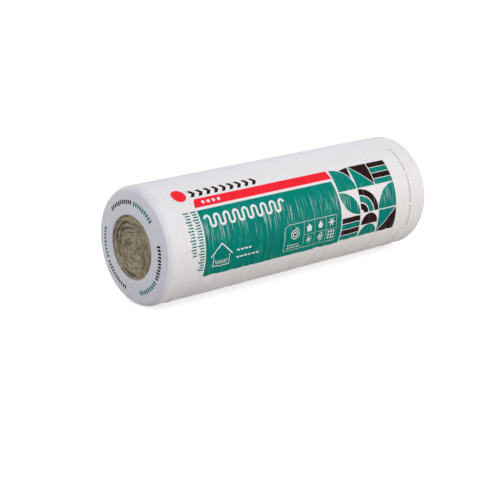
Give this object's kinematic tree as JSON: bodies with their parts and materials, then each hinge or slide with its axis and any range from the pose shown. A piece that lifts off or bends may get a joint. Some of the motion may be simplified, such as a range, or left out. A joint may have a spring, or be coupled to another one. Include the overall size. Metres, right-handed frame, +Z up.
{
  "type": "insulation roll",
  "caption": "Roll of pressed mineral wool insulation in a printed plastic film wrap with rounded ends; a round opening in each end shows the wound mat.",
  "frame": {"origin": "middle of the roll's length, on the floor under the winding axis", "axes": "+X along the winding axis, +Y to the back, +Z up; the printed side faces -Y"},
  "size_m": [1.22, 0.412, 0.4119],
  "materials": {
    "mineral_wool": "fibrous, matte",
    "printed_film": "satin polyethylene film, printed"
  },
  "bodies": {
    "root": {"wool_roll": "mineral_wool", "film_wrap": "printed_film"}
  },
  "joints": []
}
